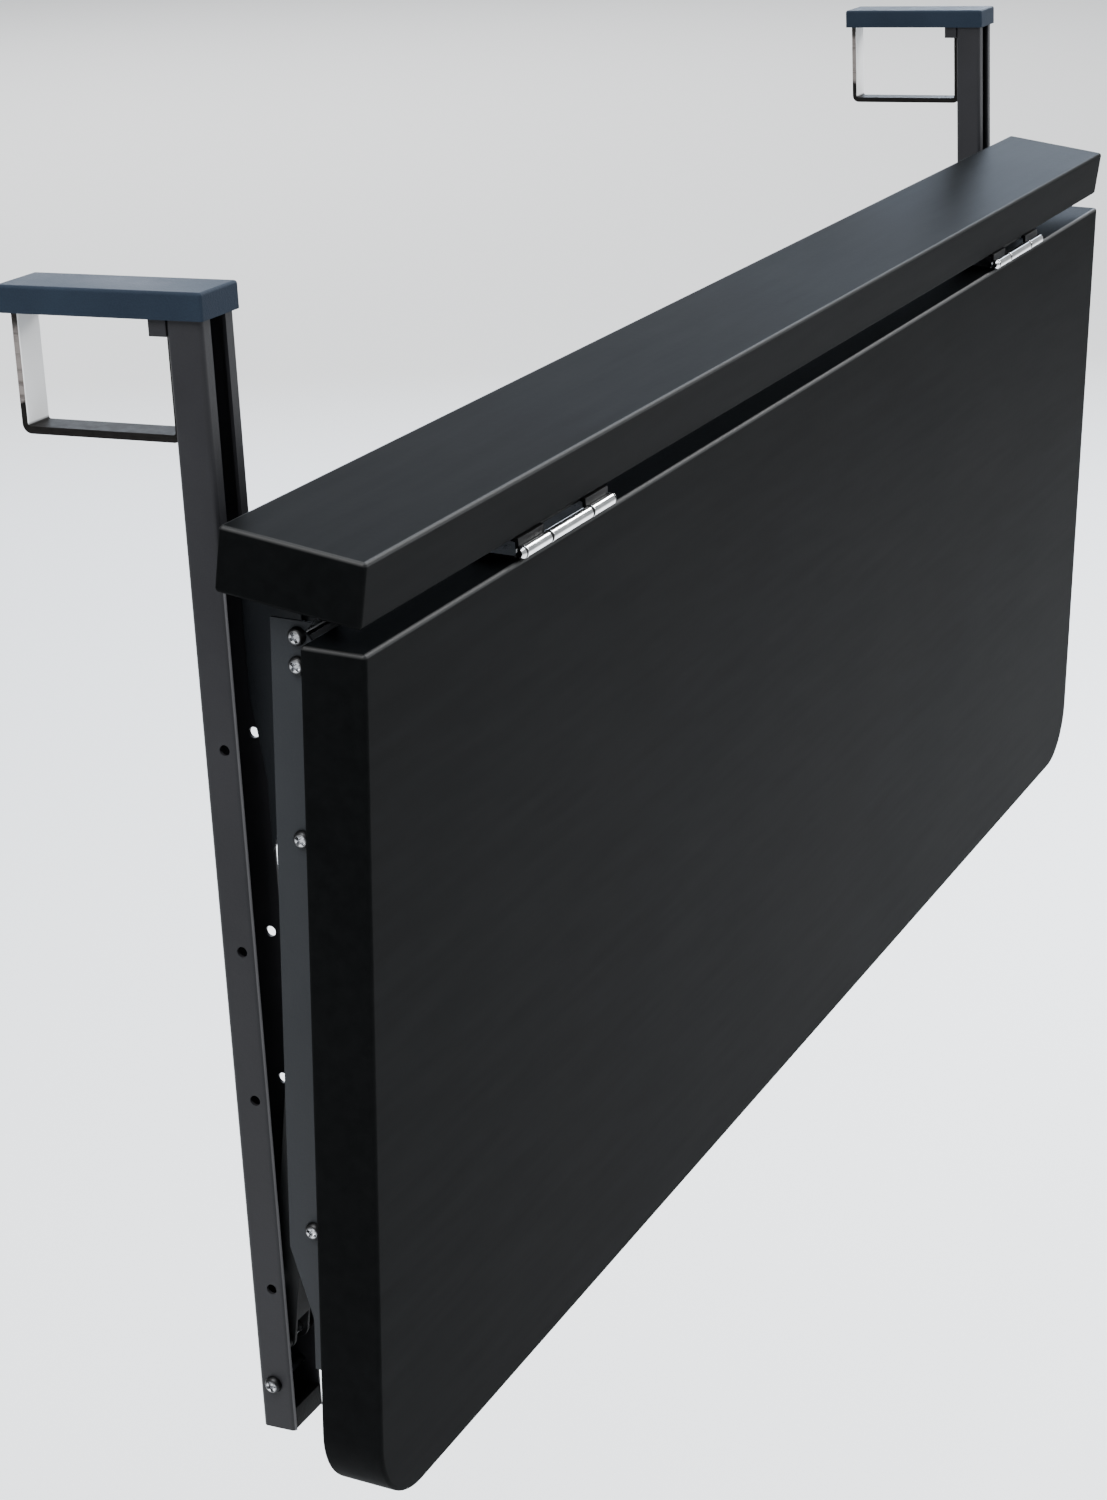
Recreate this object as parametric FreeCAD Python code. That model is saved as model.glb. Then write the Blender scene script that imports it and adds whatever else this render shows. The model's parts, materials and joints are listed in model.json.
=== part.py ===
# Balcony railing bar table: two uprights hook over a railing and carry a narrow sloping shelf.
# A large table leaf hangs from the shelf on two butt hinges and swings up to level,
# where a stay on each side props it against the upright.
#
# Frame: X runs along the railing, -Y points at the user, +Z is up. The origin is midway between
# the hooks, on the rear faces of the uprights, at the height of the rail's top. Millimetres.

import FreeCAD, Part

import math
import os
from FreeCAD import Vector, Placement, Rotation

# Boards
TABLE_LENGTH = 1000.0
SHELF_DEPTH = 62.0
SHELF_THICKNESS = 26.5
SHELF_SLOPE = 9.7            # degrees, front edge down
SHELF_TOP_DROP = 72.7        # rear top edge below the rail's top
SHELF_GAP = 4.1              # shelf's lower rear edge to the uprights' front
LEAF_DEPTH = 373.7
LEAF_THICKNESS = 27.8
LEAF_TUCK = 3.1              # degrees, lower end tucked towards the railing
LEAF_CORNER = 35.0           # radius of the two outer corners
BOARD_EDGE = 1.8             # bevel along every edge of a board

# Uprights
UPRIGHT_INSET = 26.0         # table's end to an upright's centre line
UPRIGHT_WIDTH = 24.0
UPRIGHT_DEPTH = 15.4
UPRIGHT_WALL = 1.5
UPRIGHT_CORNER = 2.0         # outer bend radius
UPRIGHT_DROP = 466.3         # lower end below the rail's top
UPRIGHT_LIP = 6.5            # width of each front lip, measured from the outer face
LIP_END_DROP = 96.0          # the lips stop here, behind the shelf
HOLE_LINE = 9.6              # lock holes, in front of the rear face
LEVEL_HOLE_DROP = 315.5      # the hole that holds the foot when the leaf is level
LOCK_HOLE_DROPS = (167.0, 251.0, LEVEL_HOLE_DROP, 400.7)
LOCK_HOLE_RADIUS = 2.25
STOP_BOLT_LINE = 6.8
STOP_BOLT_DROP = 445.5

# Hooks
RAIL_DEPTH = 61.0
RAIL_HEIGHT = 45.0
STRAP_WIDTH = 14.0
STRAP_THICKNESS = 3.0
STRAP_BEND = 4.0             # outer bend radius
LUG_DEPTH = 7.6
LUG_HEIGHT = 6.7
HOOK_BAR_WIDTH = 20.0
HOOK_BAR_THICKNESS = 5.0
CAP_WALL = 1.6
CAP_ROOF = 2.6
CAP_EDGE = 1.4
CAP_CLEARANCE = 0.2
STRAP_SCREW_DROPS = (18.0, 34.0)

# Shelf brackets
BRACKET_SHEET = 2.0
BRACKET_FLANGE_WIDTH = 28.0
BRACKET_FLANGE_DEPTH = 50.0
BRACKET_NOSE = 17.0          # depth of the side plate under the shelf
BRACKET_REAR = 10.0          # side plate's rear edge, in front of the upright's rear face
BRACKET_STRAIGHT_DROP = 152.0
BRACKET_HEEL_DROP = 186.0    # rear edge meets the upright's front edge here
BRACKET_TIP_DROP = 216.0     # and ends here, still welded behind it
BRACKET_TAIL_BACK = 0.4      # tail behind the upright's front edge
BRACKET_HOLE_MARGIN = 0.6    # side plate to the lock hole beside it
BRACKET_SCREW_PLACES = (12.0, 38.0)

# Arms on the back of the leaf
ARM_WIDTH = 25.0
ARM_DEPTH = 19.9
ARM_WALL = 1.2
ARM_RISE = 4.8               # head above the leaf's hinged edge
ARM_REACH = 318.0            # lower end below the leaf's hinged edge
ARM_TAPER_START = 263.2
ARM_TAPER_END = 294.5
ARM_TIP_DEPTH = 9.6
ARM_NOTCH = 4.0              # depth of the relief beside the leaf's edge
ARM_BOLT_LINE = 8.2          # bolts behind the leaf's back
ARM_BOLT_DROPS = (1.3, 12.8, 253.3)
PIVOT_DROP = 83.2            # stay pivot below the leaf's hinged edge
ARM_SCREW_DROPS = (42.0, 170.0, 306.0)

# Stays
STAY_WIDTH = 12.0
STAY_DEPTH = 11.0
STAY_WALL = 1.5
STAY_WEB_SETBACK = 9.0
FOOT_BUSH_RADIUS = 3.2       # hollow, so that a lock pin goes through it
GLIDE_RADIUS = 5.0
RUNNING = 0.05               # radial clearance of a turning fit
SIDE_CLEARANCE = 0.2         # gap beside a sliding or turning face

# Butt hinges
HINGE_INSET = 177.5          # table's end to a hinge's middle
HINGE_LENGTH = 89.0
KNUCKLE_JOINTS = (0.28, 0.74)    # joints between the three knuckles, in parts of the barrel
KNUCKLE_RADIUS = 2.75
HINGE_PIN_RADIUS = 1.4
HINGE_BUTTON = 2.0           # rounded end of the pin
HINGE_BUTTON_CROWN = 1.6
HINGE_SHEET = 1.5
HINGE_PLATE_DEPTH = 23.0
HINGE_LEAF_GAP = 0.4         # barrel above the leaf's hinged edge
HINGE_DROP = 5.8             # axis below the shelf's lower front edge
HINGE_FORWARD = 1.8          # axis in front of that edge
HINGE_SCREW_PLACES = (-34.0, 0.0, 34.0)

# Fasteners
BOLT_RADIUS = 2.0
BOLT_HEAD_RADIUS = 3.75
BOLT_CROWN_RADIUS = 2.7
BOLT_HEAD_HEIGHT = 2.8
NUT_ACROSS_FLATS = 7.0
NUT_THICKNESS = 3.2
BOLT_END = 0.8               # bolt past its nut
SLEEVE_RADIUS = 3.6
WOOD_SCREW_RADIUS = 1.75
WOOD_SCREW_HEAD_RADIUS = 3.6
WOOD_SCREW_CROWN_RADIUS = 2.6
WOOD_SCREW_HEAD_HEIGHT = 2.2
WOOD_SCREW_LENGTH = 18.0
ARM_SCREW_LENGTH = 16.0
FIT = 0.05                   # radial clearance of a fastener in its hole
FASTENER_SIDES = 12          # fasteners and their holes are drawn with this many sides
BEYOND = 1.0                 # how far a cut reaches past the faces it opens

X_AXIS = Vector(1, 0, 0)
UPRIGHT_SIDE = TABLE_LENGTH / 2 - UPRIGHT_INSET
HINGE_SIDE = TABLE_LENGTH / 2 - HINGE_INSET


def sine(angle):
    return math.sin(math.radians(angle))


def cosine(angle):
    return math.cos(math.radians(angle))


# Shelf placement: its rear top edge lies on this line
SHELF_REAR_Y = -(UPRIGHT_DEPTH + SHELF_GAP + SHELF_THICKNESS * sine(SHELF_SLOPE))
SHELF_REAR_Z = -SHELF_TOP_DROP
# Shelf's lower front edge, from which the hinge axis is set out
SHELF_LOW_FRONT_Y = SHELF_REAR_Y - SHELF_DEPTH * cosine(SHELF_SLOPE) + SHELF_THICKNESS * sine(SHELF_SLOPE)
SHELF_LOW_FRONT_Z = SHELF_REAR_Z - SHELF_DEPTH * sine(SHELF_SLOPE) - SHELF_THICKNESS * cosine(SHELF_SLOPE)
AXIS_Y = SHELF_LOW_FRONT_Y - HINGE_FORWARD
AXIS_Z = SHELF_LOW_FRONT_Z - HINGE_DROP
LEAF_EDGE = -(KNUCKLE_RADIUS + HINGE_LEAF_GAP)    # hinged edge of the leaf, from the axis
LEAF_SWING = 90.0 + LEAF_TUCK                     # from hanging to level

# Stay: its foot runs on the hole line and meets the level hole when the leaf is level
PIVOT_BACK = LEAF_THICKNESS + ARM_BOLT_LINE
PIVOT_DOWN = PIVOT_DROP - LEAF_EDGE
FOOT_Y = -HOLE_LINE
LEVEL_FOOT_Z = -LEVEL_HOLE_DROP
LEVEL_PIVOT_Y = AXIS_Y - PIVOT_DOWN
LEVEL_PIVOT_Z = AXIS_Z - PIVOT_BACK
STAY_LENGTH = math.hypot(FOOT_Y - LEVEL_PIVOT_Y, LEVEL_PIVOT_Z - LEVEL_FOOT_Z)
PIVOT_Y = AXIS_Y + PIVOT_BACK * cosine(LEAF_TUCK) + PIVOT_DOWN * sine(LEAF_TUCK)
PIVOT_Z = AXIS_Z + PIVOT_BACK * sine(LEAF_TUCK) - PIVOT_DOWN * cosine(LEAF_TUCK)
STAY_REST_ANGLE = math.degrees(math.asin((FOOT_Y - PIVOT_Y) / STAY_LENGTH))
STAY_LEVEL_ANGLE = math.degrees(math.asin((FOOT_Y - LEVEL_PIVOT_Y) / STAY_LENGTH))
STAY_SWING = STAY_LEVEL_ANGLE - STAY_REST_ANGLE + LEAF_SWING

# Side pieces are drawn about the upright's centre line, with the table's end at -X
OUTER = -UPRIGHT_WIDTH / 2
INNER = UPRIGHT_WIDTH / 2
ARM_OUTER = -ARM_WIDTH / 2
ARM_INNER = ARM_WIDTH / 2
HOOK_BAR_LOW = STRAP_THICKNESS
HOOK_BAR_HIGH = HOOK_BAR_LOW + HOOK_BAR_THICKNESS
HOOK_BACK = LUG_DEPTH + RAIL_DEPTH + STRAP_THICKNESS


def block(x0, x1, y0, y1, z0, z1):
    """Box between two corners."""
    return Part.makeBox(x1 - x0, y1 - y0, z1 - z0, Vector(x0, y0, z0))


def rod_x(x0, x1, y, z, radius):
    """Round bar along X."""
    return Part.makeCylinder(radius, x1 - x0, Vector(x0, y, z), X_AXIS)


def tube_x(x0, x1, y, z, radius, bore):
    return rod_x(x0, x1, y, z, radius).cut(rod_x(x0, x1, y, z, bore))


def plate_x(outline, x0, x1):
    """Plate between x0 and x1 with an outline of (y, z) points."""
    corners = [Vector(x0, y, z) for y, z in outline]
    face = Part.Face(Part.makePolygon(corners + corners[:1]))
    return face.extrude(Vector(x1 - x0, 0, 0))


def edges_along(shape, direction):
    """Straight edges of a shape that run along a direction."""
    found = []
    for edge in shape.Edges:
        if isinstance(edge.Curve, (Part.Line, Part.LineSegment)):
            run = (edge.Vertexes[-1].Point - edge.Vertexes[0].Point).normalize()
            if abs(abs(run.dot(direction)) - 1) < 1e-6:
                found.append(edge)
    return found


def fused(shapes):
    first = shapes[0]
    joined = first.fuse(shapes[1:]) if len(shapes) > 1 else first
    return joined.removeSplitter()


def turned(shape, angle, y, z):
    """A shape drawn about the X axis, turned about it and carried to (y, z)."""
    moved = shape.copy()
    moved.Placement = Placement(Vector(0, y, z), Rotation(X_AXIS, angle)).multiply(moved.Placement)
    return moved


def on_shelf(shape):
    """From the shelf's own frame, whose origin is its rear top edge."""
    return turned(shape, SHELF_SLOPE, SHELF_REAR_Y, SHELF_REAR_Z)


def on_leaf(shape):
    """From the leaf's own frame, whose origin is the hinge axis, with +Y into its back."""
    return turned(shape, LEAF_TUCK, AXIS_Y, AXIS_Z)


def on_stay(shape):
    """From the stay's own frame, whose origin is its pivot, with the foot straight below."""
    return turned(shape, STAY_REST_ANGLE, PIVOT_Y, PIVOT_Z)


def sided(base, direction, length, radius, end_radius):
    """Straight-sided bar or cone from base along direction, for a fastener or its hole."""
    turns = [360.0 / FASTENER_SIDES * i for i in range(FASTENER_SIDES)]
    low = [Vector(radius * cosine(t), radius * sine(t), 0) for t in turns]
    high = [Vector(end_radius * cosine(t), end_radius * sine(t), length) for t in turns]
    faces = [Part.Face(Part.makePolygon(ring + ring[:1])) for ring in (low, high)]
    for i in range(FASTENER_SIDES):
        before = i - 1
        corners = [low[before], low[i], high[i], high[before], low[before]]
        faces.append(Part.Face(Part.makePolygon(corners)))
    bar = Part.makeSolid(Part.makeShell(faces))
    bar.Placement = Placement(base, Rotation(Vector(0, 0, 1), direction))
    return bar


def bar_x(x0, x1, y, z, grow=0.0):
    """Shank of a cross bolt along X, or its hole."""
    radius = BOLT_RADIUS + grow
    return sided(Vector(x0, y, z), X_AXIS, x1 - x0, radius, radius)


def pan_bolt(x_face, x_end, y, z):
    """Pan-head bolt along +X with its head outside x_face."""
    head = sided(Vector(x_face, y, z), -X_AXIS, BOLT_HEAD_HEIGHT, BOLT_HEAD_RADIUS, BOLT_CROWN_RADIUS)
    return fused([head, bar_x(x_face, x_end, y, z)])


def hex_nut(x_face, y, z):
    """Nut on the +X side of x_face."""
    corner = NUT_ACROSS_FLATS / 2 / cosine(30)
    outline = [(y + corner * cosine(60 * i), z + corner * sine(60 * i)) for i in range(6)]
    body = plate_x(outline, x_face, x_face + NUT_THICKNESS)
    return body.cut(bar_x(x_face, x_face + NUT_THICKNESS, y, z, FIT))


def wood_screw(base, direction, length, countersunk, grow=0.0):
    """Wood screw whose head seats at base and whose shank runs along direction.
    A countersunk head lies below base and a pan head above it. grow widens it for its hole."""
    radius = WOOD_SCREW_RADIUS + grow
    shank = sided(base, direction, length, radius, radius)
    if countersunk:
        sink = sided(base, direction, WOOD_SCREW_HEAD_HEIGHT, WOOD_SCREW_HEAD_RADIUS + grow, radius)
        return shank.fuse(sink)
    if grow:
        return shank
    head = sided(base, direction * -1, WOOD_SCREW_HEAD_HEIGHT, WOOD_SCREW_HEAD_RADIUS, WOOD_SCREW_CROWN_RADIUS)
    return shank.fuse(head)


def bevelled(board):
    """Bevels every edge of a board that is left after its corners are shaped."""
    return board.makeChamfer(BOARD_EDGE, board.Edges)


def shelf_screw_set(grow=0.0):
    """Pan-head screws up through the bracket's flange, in the shelf's frame."""
    low = -(SHELF_THICKNESS + BRACKET_SHEET)
    x = INNER + (BRACKET_FLANGE_WIDTH - UPRIGHT_WALL - BRACKET_SHEET) / 2
    return [wood_screw(Vector(x, -back, low), Vector(0, 0, 1), WOOD_SCREW_LENGTH, False, grow)
            for back in BRACKET_SCREW_PLACES]


def fixed_hinge_screw_set(grow=0.0):
    """Countersunk screws up through the fixed hinge plate, in the shelf's frame."""
    low = -(SHELF_THICKNESS + HINGE_SHEET)
    y = -SHELF_DEPTH + HINGE_PLATE_DEPTH * 0.62
    return [wood_screw(Vector(x, y, low), Vector(0, 0, 1), WOOD_SCREW_LENGTH, True, grow)
            for x in HINGE_SCREW_PLACES]


def moving_hinge_screw_set(grow=0.0):
    """Countersunk screws down through the moving hinge plate, in the leaf's frame."""
    y = HINGE_PLATE_DEPTH * 0.6
    return [wood_screw(Vector(x, y, LEAF_EDGE + HINGE_SHEET), Vector(0, 0, -1), WOOD_SCREW_LENGTH, True, grow)
            for x in HINGE_SCREW_PLACES]


def arm_screw_set(grow=0.0):
    """Pan-head screws through the arm's web into the leaf, in the leaf's frame."""
    x = (ARM_OUTER + ARM_INNER) / 2
    return [wood_screw(Vector(x, LEAF_THICKNESS + ARM_WALL, LEAF_EDGE - drop), Vector(0, -1, 0),
                       ARM_SCREW_LENGTH, False, grow) for drop in ARM_SCREW_DROPS]


def both_sides(shapes, x):
    """Copies of side shapes at -x and, mirrored, at +x."""
    near = [s.translated(Vector(-x, 0, 0)) for s in shapes]
    return near + [s.mirror(Vector(0, 0, 0), X_AXIS) for s in near]


def shelf_board():
    half = TABLE_LENGTH / 2
    board = bevelled(block(-half, half, -SHELF_DEPTH, 0, -SHELF_THICKNESS, 0))
    holes = both_sides(shelf_screw_set(FIT), UPRIGHT_SIDE)
    holes += both_sides(fixed_hinge_screw_set(FIT), HINGE_SIDE)
    return on_shelf(board.cut(holes))


def leaf_board():
    """Table leaf, hanging from its hinged edge, with rounded outer corners."""
    half = TABLE_LENGTH / 2
    board = block(-half, half, 0, LEAF_THICKNESS, LEAF_EDGE - LEAF_DEPTH, LEAF_EDGE)
    upright_edges = edges_along(board, Vector(0, 1, 0))
    outer = [e for e in upright_edges if e.CenterOfMass.z < LEAF_EDGE - LEAF_DEPTH / 2]
    board = board.makeFillet(LEAF_CORNER, outer)
    board = bevelled(board)
    holes = both_sides(arm_screw_set(FIT), UPRIGHT_SIDE)
    holes += both_sides(moving_hinge_screw_set(FIT), HINGE_SIDE)
    return on_leaf(board.cut(holes))


def upright():
    """Folded channel, open to the front, with lips above the shelf only."""
    top = HOOK_BAR_LOW
    bottom = -UPRIGHT_DROP
    body = block(OUTER, INNER, -UPRIGHT_DEPTH, 0, bottom, top)
    body = body.makeFillet(UPRIGHT_CORNER, edges_along(body, Vector(0, 0, 1)))
    wall = UPRIGHT_WALL
    front = -UPRIGHT_DEPTH
    below = bottom - BEYOND
    above = top + BEYOND
    hollow = block(OUTER + wall, INNER - wall, front + wall, -wall, below, above)
    slot = block(OUTER + UPRIGHT_LIP, INNER - UPRIGHT_LIP, front - BEYOND, front + wall, bottom, above)
    mouth = block(OUTER + wall, INNER - wall, front - BEYOND, -wall, below, -LIP_END_DROP)
    cuts = [hollow, slot, mouth]
    for drop in LOCK_HOLE_DROPS:
        cuts.append(rod_x(OUTER - BEYOND, INNER + BEYOND, FOOT_Y, -drop, LOCK_HOLE_RADIUS))
    cuts.append(bar_x(OUTER - BEYOND, INNER + BEYOND, -STOP_BOLT_LINE, -STOP_BOLT_DROP, FIT))
    return body.cut(cuts + strap_screw_holes(-wall - BEYOND, BEYOND))


def strap_screw_holes(y0, y1):
    """Holes along Y for the screws that hold the strap."""
    radius = BOLT_RADIUS + FIT
    return [sided(Vector(0, y0, -drop), Vector(0, 1, 0), y1 - y0, radius, radius)
            for drop in STRAP_SCREW_DROPS]


def strap_lug():
    """Block behind the upright that the ends of the strap meet."""
    return block(OUTER, INNER, 0, LUG_DEPTH, -LUG_HEIGHT, HOOK_BAR_LOW)


def hook_bar():
    """Flat bar over the rail, on top of the upright, the lug and the strap."""
    half = HOOK_BAR_WIDTH / 2
    return block(-half, half, -UPRIGHT_DEPTH, HOOK_BACK, HOOK_BAR_LOW, HOOK_BAR_HIGH)


def rail_strap():
    """Flat strip bent round the rail, from the lug down the upright, under, up and back."""
    half = STRAP_WIDTH / 2
    low = -(RAIL_HEIGHT + STRAP_THICKNESS)
    outside = block(-half, half, 0, HOOK_BACK, low, STRAP_THICKNESS)
    outside = outside.makeFillet(STRAP_BEND, edges_along(outside, X_AXIS))
    inside = block(-half, half, STRAP_THICKNESS, HOOK_BACK - STRAP_THICKNESS, -RAIL_HEIGHT, 0)
    inside = inside.makeFillet(STRAP_BEND - STRAP_THICKNESS, edges_along(inside, X_AXIS))
    lug_space = block(-half, half, -BEYOND, LUG_DEPTH, -LUG_HEIGHT, STRAP_THICKNESS + BEYOND)
    holes = strap_screw_holes(-BEYOND, STRAP_THICKNESS + BEYOND)
    return outside.cut([inside, lug_space] + holes)


def strap_screws():
    """Short screws from inside the channel that hold the strap's inner leg."""
    screws = []
    for drop in STRAP_SCREW_DROPS:
        seat = Vector(0, -UPRIGHT_WALL, -drop)
        reach = UPRIGHT_WALL + STRAP_THICKNESS
        shank = sided(seat, Vector(0, 1, 0), reach, BOLT_RADIUS, BOLT_RADIUS)
        head = sided(seat, Vector(0, -1, 0), BOLT_HEAD_HEIGHT, BOLT_HEAD_RADIUS, BOLT_CROWN_RADIUS)
        screws.append(fused([head, shank]))
    return Part.makeCompound(screws)


def hook_cap():
    """Moulded cover over the hook bar and the strap, open below."""
    inner_half = UPRIGHT_WIDTH / 2 + CAP_CLEARANCE
    front = -UPRIGHT_DEPTH - CAP_CLEARANCE
    back = HOOK_BACK + CAP_CLEARANCE
    shell = block(-inner_half - CAP_WALL, inner_half + CAP_WALL, front - CAP_WALL, back + CAP_WALL,
                  0, HOOK_BAR_HIGH + CAP_ROOF)
    shell = shell.makeChamfer(CAP_EDGE, [e for e in shell.Edges if e.BoundBox.ZMax > CAP_EDGE])
    return shell.cut(block(-inner_half, inner_half, front, back, -BEYOND, HOOK_BAR_HIGH))


def shelf_bracket():
    """Welded inside the upright to its inner flange, with a flange under the shelf."""
    x1 = INNER - UPRIGHT_WALL
    x0 = x1 - BRACKET_SHEET
    low = -SHELF_THICKNESS
    flange = on_shelf(block(x0, x0 + BRACKET_FLANGE_WIDTH, -BRACKET_FLANGE_DEPTH, 0, low - BRACKET_SHEET, low))
    rear_y = -(UPRIGHT_DEPTH + SHELF_GAP)
    rear_z = SHELF_REAR_Z - SHELF_THICKNESS * cosine(SHELF_SLOPE)
    nose_y = rear_y - BRACKET_NOSE * cosine(SHELF_SLOPE)
    nose_z = rear_z - BRACKET_NOSE * sine(SHELF_SLOPE)
    tail_y = BRACKET_TAIL_BACK - UPRIGHT_DEPTH
    heel = Vector(x0, tail_y, -BRACKET_HEEL_DROP)
    tip = Vector(x0, tail_y, -BRACKET_TIP_DROP)
    bend = Vector(x0, -BRACKET_REAR, -BRACKET_STRAIGHT_DROP)
    straight = [Vector(x0, nose_y, nose_z), Vector(x0, rear_y, rear_z), Vector(x0, -BRACKET_REAR, rear_z), bend]
    beside_hole = -(HOLE_LINE + LOCK_HOLE_RADIUS + BRACKET_HOLE_MARGIN)
    belly = Vector(x0, beside_hole, -LOCK_HOLE_DROPS[0])
    toe = Vector(x0, nose_y, -BRACKET_STRAIGHT_DROP)
    edges = Part.makePolygon(straight).Edges + [Part.Arc(bend, belly, heel).toShape()]
    edges += Part.makePolygon([heel, tip, toe, straight[0]]).Edges
    side = Part.Face(Part.Wire(edges)).extrude(Vector(x1 - x0, 0, 0))
    holes = [on_shelf(s) for s in shelf_screw_set(FIT)]
    return fused([flange, side]).cut(holes)


def shelf_screws():
    return Part.makeCompound([on_shelf(s) for s in shelf_screw_set()])


def stop_bolt():
    """Cross bolt near the lower end that stops the stay's foot."""
    return pan_bolt(OUTER, INNER + NUT_THICKNESS + BOLT_END, -STOP_BOLT_LINE, -STOP_BOLT_DROP)


def stop_nut():
    return hex_nut(INNER, -STOP_BOLT_LINE, -STOP_BOLT_DROP)


def arm_bolt_places():
    return [(PIVOT_BACK, LEAF_EDGE - drop) for drop in ARM_BOLT_DROPS]


def arm():
    """Channel screwed to the back of the leaf, open to the rear, with a tapered lower end."""
    back = LEAF_THICKNESS
    head = LEAF_EDGE + ARM_RISE
    tip = LEAF_EDGE - ARM_REACH
    notch_z = head - ARM_NOTCH
    web_top = notch_z - ARM_NOTCH - ARM_WALL
    outline = [(back + ARM_WALL, head), (back + ARM_WALL + ARM_NOTCH, notch_z), (back, web_top),
               (back, tip), (back + ARM_TIP_DEPTH, tip), (back + ARM_TIP_DEPTH, LEAF_EDGE - ARM_TAPER_END),
               (back + ARM_DEPTH, LEAF_EDGE - ARM_TAPER_START), (back + ARM_DEPTH, head)]
    outer_wall = plate_x(outline, ARM_OUTER, ARM_OUTER + ARM_WALL)
    inner_wall = plate_x(outline, ARM_INNER - ARM_WALL, ARM_INNER)
    web = block(ARM_OUTER, ARM_INNER, back, back + ARM_WALL, tip, web_top)
    cuts = arm_screw_set(FIT)
    for y, z in arm_bolt_places() + [(PIVOT_BACK, -PIVOT_DOWN)]:
        cuts.append(bar_x(ARM_OUTER - BEYOND, ARM_INNER + BEYOND, y, z, FIT))
    return on_leaf(fused([outer_wall, inner_wall, web]).cut(cuts))


def arm_screws():
    return Part.makeCompound([on_leaf(s) for s in arm_screw_set()])


def arm_bolts():
    end = ARM_INNER + NUT_THICKNESS + BOLT_END
    return Part.makeCompound([on_leaf(pan_bolt(ARM_OUTER, end, y, z)) for y, z in arm_bolt_places()])


def arm_nuts():
    return Part.makeCompound([on_leaf(hex_nut(ARM_INNER, y, z)) for y, z in arm_bolt_places()])


def pivot_bolt():
    return on_leaf(pan_bolt(ARM_OUTER, ARM_INNER + NUT_THICKNESS + BOLT_END, PIVOT_BACK, -PIVOT_DOWN))


def pivot_nut():
    return on_leaf(hex_nut(ARM_INNER, PIVOT_BACK, -PIVOT_DOWN))


def pivot_bushes():
    """Bushes that centre the stay on its pivot bolt."""
    gaps = [(ARM_OUTER + ARM_WALL, -STAY_WIDTH / 2 - SIDE_CLEARANCE),
            (STAY_WIDTH / 2 + SIDE_CLEARANCE, ARM_INNER - ARM_WALL)]
    return Part.makeCompound([on_leaf(tube_x(x0, x1, PIVOT_BACK, -PIVOT_DOWN, SLEEVE_RADIUS, BOLT_RADIUS + FIT))
                              for x0, x1 in gaps])


def stay():
    """Pressed channel from the pivot to the foot, with rounded ears at both ends."""
    half = STAY_DEPTH / 2
    ends = [0, -STAY_LENGTH]
    walls = []
    for x0 in (-STAY_WIDTH / 2, STAY_WIDTH / 2 - STAY_WALL):
        x1 = x0 + STAY_WALL
        walls += [block(x0, x1, -half, half, -STAY_LENGTH, 0)] + [rod_x(x0, x1, 0, z, half) for z in ends]
    web = block(-STAY_WIDTH / 2, STAY_WIDTH / 2, -half, -half + STAY_WALL,
                -STAY_LENGTH + STAY_WEB_SETBACK, -STAY_WEB_SETBACK)
    holes = [rod_x(-STAY_WIDTH, STAY_WIDTH, 0, 0, BOLT_RADIUS + RUNNING),
             rod_x(-STAY_WIDTH, STAY_WIDTH, 0, -STAY_LENGTH, FOOT_BUSH_RADIUS + FIT)]
    return on_stay(fused(walls + [web]).cut(holes))


def foot_bush():
    """Hollow cross bush that a lock pin passes through when it meets a hole of the upright."""
    reach = UPRIGHT_WIDTH / 2 - UPRIGHT_WALL - 2 * SIDE_CLEARANCE
    return on_stay(tube_x(-reach, reach, 0, -STAY_LENGTH, FOOT_BUSH_RADIUS, LOCK_HOLE_RADIUS + FIT))


def foot_glides():
    """Round glides beside the foot that run inside the upright."""
    near = STAY_WIDTH / 2 + SIDE_CLEARANCE
    far = UPRIGHT_WIDTH / 2 - UPRIGHT_WALL - SIDE_CLEARANCE
    return Part.makeCompound([on_stay(tube_x(x0, x1, 0, -STAY_LENGTH, GLIDE_RADIUS, FOOT_BUSH_RADIUS + FIT))
                              for x0, x1 in ((-far, -near), (near, far))])


def knuckle_spans(first):
    """Lengths of barrel that belong to one plate, counted from knuckle first."""
    ends = [HINGE_LENGTH * (part - 0.5) for part in (0.0,) + KNUCKLE_JOINTS + (1.0,)]
    spans = list(zip(ends, ends[1:]))[first::2]
    return [(x0 + SIDE_CLEARANCE / 2, x1 - SIDE_CLEARANCE / 2) for x0, x1 in spans]


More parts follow.
